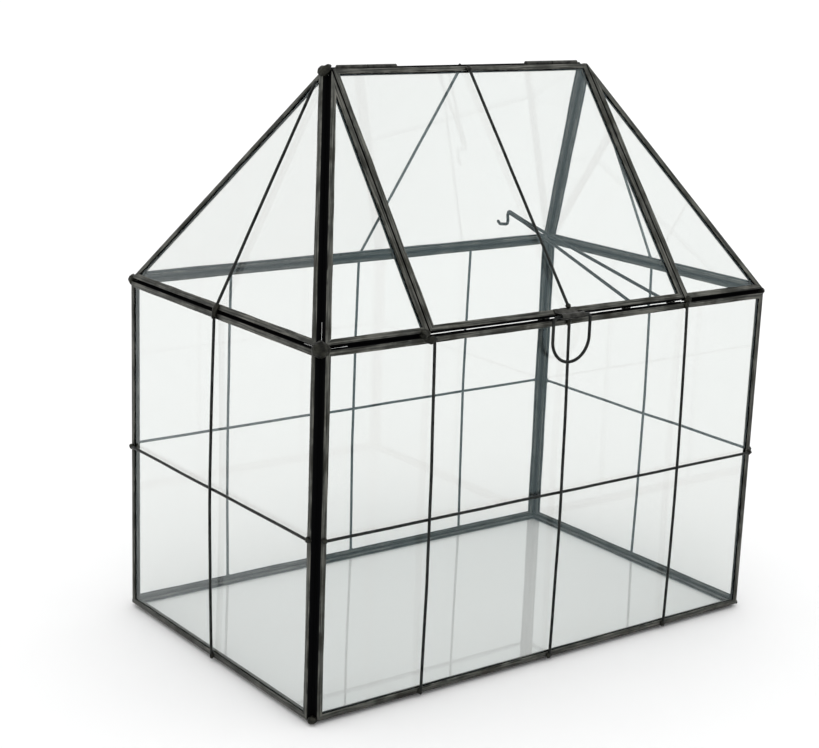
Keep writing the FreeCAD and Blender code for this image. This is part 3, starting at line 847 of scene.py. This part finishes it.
def uprightEnds():
    # a lump at each end of each upright, longer along the wire; the lid's left corner joint has a wide lobe
    balls = []
    size = solder["wire"]
    seed = 170
    for name, (axis, outward) in walls.items():
        rods = splitRods(name + "_wall_uprights", axis)
        for k, points in enumerate(rods):
            sideways = across if axis == 0 else backward
            place = (points[:, axis].min() + points[:, axis].max()) / 2
            face = (points @ outward).min()
            heights = [points[:, 2].min() + 1.1 * mm]
            if name in ("front", "back") and not (name == "back" and k == 1):
                heights.append(points[:, 2].max() - 1.1 * mm)
            for z in heights:
                seed += 1
                isLobe = name == "front" and k == 0 and z > houseMiddle[2]
                wide = solder["topLobe"] if isLobe else size
                centre = outward * (face + 0.35 * mm) + up * z
                centre[axis] = place - (wide - size) * 0.8
                axes = [sideways * wide, outward * size * 0.85, up * size * 1.25]
                balls.append(ball(centre, axes, seed, 0.13, 1.4, 14, 18))
    buildPiece("uprightSolder", balls, solderMetal, "case", "solder", "upright_solder")


def railEnds():
    balls = []
    size = solder["wire"]
    seed = 200
    for name, (axis, outward) in walls.items():
        low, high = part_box(name + "_wall_rail")
        middle = (np.array(low) + np.array(high)) / 2
        sideways = across if axis == 0 else backward
        for place, sign in ((low[axis], 1), (high[axis], -1)):
            seed += 1
            centre = middle.copy()
            centre[axis] = place + sign * 1.05 * mm
            axes = [sideways * size * 1.15, outward * size * 0.9, up * size]
            balls.append(ball(centre - outward * 0.3 * mm, axes, seed, 0.13, 1.4, 14, 18))
    buildPiece("railSolder", balls, solderMetal, "case", "solder", "rail_solder")


def lidWireEnds():
    start, end = rodEnds(meshPoints("lid_wire"))
    low, high = (start, end) if start[2] < end[2] else (end, start)
    size = solder["lid"]
    lowAxes = [across * size * 1.1, lidUp * size, lidNormal * size * 0.9]
    highAxes = [across * size * 1.5, lidUp * size * 0.9, lidNormal * size * 0.8]
    balls = [ball(low + lidUp * 0.2 * mm, lowAxes, 211, 0.13, 1.4, 14, 18),
             ball(high - lidUp * 1.3 * mm, highAxes, 212, 0.13, 1.4, 14, 18)]
    buildPiece("lidWireSolder", balls, solderMetal, "lid", "solder", "lid_wire_solder")


def hingeSeats():
    # a long fillet under each tube, and a lumpy spill over the left end of the lid's left one
    for part, slope, thick in (("case", "back_slope", 0.55 * mm), ("lid", "lid", 0.68 * mm)):
        normal = panes[slope]["normal"]
        down = -np.cross(normal, across) * (1 if part == "lid" else -1)
        balls = []
        for k, side in enumerate(("left", "right")):
            low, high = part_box(f"{side}_{part}_knuckle")
            half = (high.x - low.x) / 2
            centre = np.array([(low.x + high.x) / 2, 0, pinHeight]) + down * 1.25 * mm
            axes = [across * (half - 0.7 * mm), normal * thick, down * 0.55 * mm]
            balls.append(ball(centre, axes, 220 + k, 0.16, 0.9, 26, 14))
            if part == "lid" and side == "left":
                spill = centre + down * 0.6 * mm + normal * 0.5 * mm - across * half * 0.66
                axes = [across * 5.0 * mm, normal * 0.95 * mm, down * 1.3 * mm]
                balls.append(ball(spill, axes, 231, 0.3, 1.1, 26, 14))
        buildPiece(part + "HingeSolder", balls, solderMetal, part, "solder", part + "_hinge_solder")


eaveCorners()
baseCorners()
apexes()
crossings()
lidCornerJoints()
uprightEnds()
railEnds()
lidWireEnds()
hingeSeats()
print("solder ready")


stage = {"size": 40.0, "floor": (0.92, 0.92, 0.92), "horizon": 0.88, "zenith": 1.24, "key": 1.2, "fill": 0.5}


def addStage():
    mesh = bpy.data.meshes.new("floorSheet")
    half = stage["size"] / 2
    mesh.from_pydata([(x * half, y * half, 0) for x, y in ways], [], [(0, 1, 2, 3)])
    material, tree, shader = newMaterial("palePaper")
    place = addNode(tree, "TexCoord").outputs["Object"]
    grain = noiseOf(tree, place, (1, 1, 1), 6.0, 3.0, 0.5)
    shade = steps(tree, grain, (0.3, tuple(c * 0.995 for c in stage["floor"])), (0.7, stage["floor"]))
    tree.links.new(shade, shader.inputs["Base Color"])
    shader.inputs["Roughness"].default_value = 0.9
    shader.inputs["Specular IOR Level"].default_value = 0.1
    mesh.materials.append(material)
    floor = bpy.data.objects.new("floorSheet", mesh)
    bpy.context.scene.collection.objects.link(floor)
    floor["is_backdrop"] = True


def addWorld():
    # a soft white sky, brighter overhead than at the horizon
    world = bpy.data.worlds.new("studio")
    world.use_nodes = True
    bpy.context.scene.world = world
    tree = world.node_tree
    tree.nodes.clear()
    output = tree.nodes.new("ShaderNodeOutputWorld")
    background = tree.nodes.new("ShaderNodeBackground")
    tree.links.new(background.outputs[0], output.inputs[0])
    direction = addNode(tree, "TexCoord").outputs["Generated"]
    height = addNode(tree, "SeparateXYZ", {"Vector": direction}).outputs["Z"]
    colour = steps(tree, height, (0.0, (stage["horizon"],) * 3), (0.7, (stage["zenith"],) * 3))
    tree.links.new(colour, background.inputs[0])


def addSoftbox(name, place, size, power):
    light = bpy.data.lights.new(name, "AREA")
    light.shape = "RECTANGLE"
    light.size, light.size_y = size
    light.energy = power
    box = bpy.data.objects.new(name, light)
    place = Vector(place)
    target = Vector((0, 0, 0.12))
    box.rotation_euler = (target - place).to_track_quat("-Z", "Y").to_euler()
    box.location = place
    bpy.context.scene.collection.objects.link(box)


lens = {"length": 77.30, "sensor": 36.0, "place": (-0.5234, -0.6623, 0.3372),
        "forward": (0.58287, 0.77396, -0.24748), "roll": radians(2.11)}


def addCamera():
    data = bpy.data.cameras.new("camera")
    data.lens = lens["length"]
    data.sensor_width = lens["sensor"]
    data.sensor_fit = "HORIZONTAL"
    data.clip_start, data.clip_end = 0.01, 100.0
    camera = bpy.data.objects.new("camera", data)
    bpy.context.scene.collection.objects.link(camera)
    forward = Vector(lens["forward"]).normalized()
    level = forward.cross(Vector((0, 0, 1))).normalized()
    upright = level.cross(forward)
    right = level * cos(lens["roll"]) + upright * sin(lens["roll"])
    top = right.cross(forward)
    turned = Matrix((right, top, -forward)).transposed().to_4x4()
    camera.matrix_world = Matrix.Translation(lens["place"]) @ turned
    bpy.context.scene.camera = camera


addStage()
addWorld()
addSoftbox("keySoftbox", (-1.4, -1.2, 1.6), (1.2, 1.2), stage["key"])
addSoftbox("fillSoftbox", (1.6, 0.6, 1.4), (1.0, 1.4), stage["fill"])
addCamera()
scene = bpy.context.scene
scene.view_settings.view_transform = "Standard"
scene.cycles.max_bounces = 24
scene.cycles.transmission_bounces = 20
scene.cycles.transparent_max_bounces = 16
scene.cycles.caustics_refractive = True
scene.cycles.caustics_reflective = True
print("stage ready")

low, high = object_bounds()
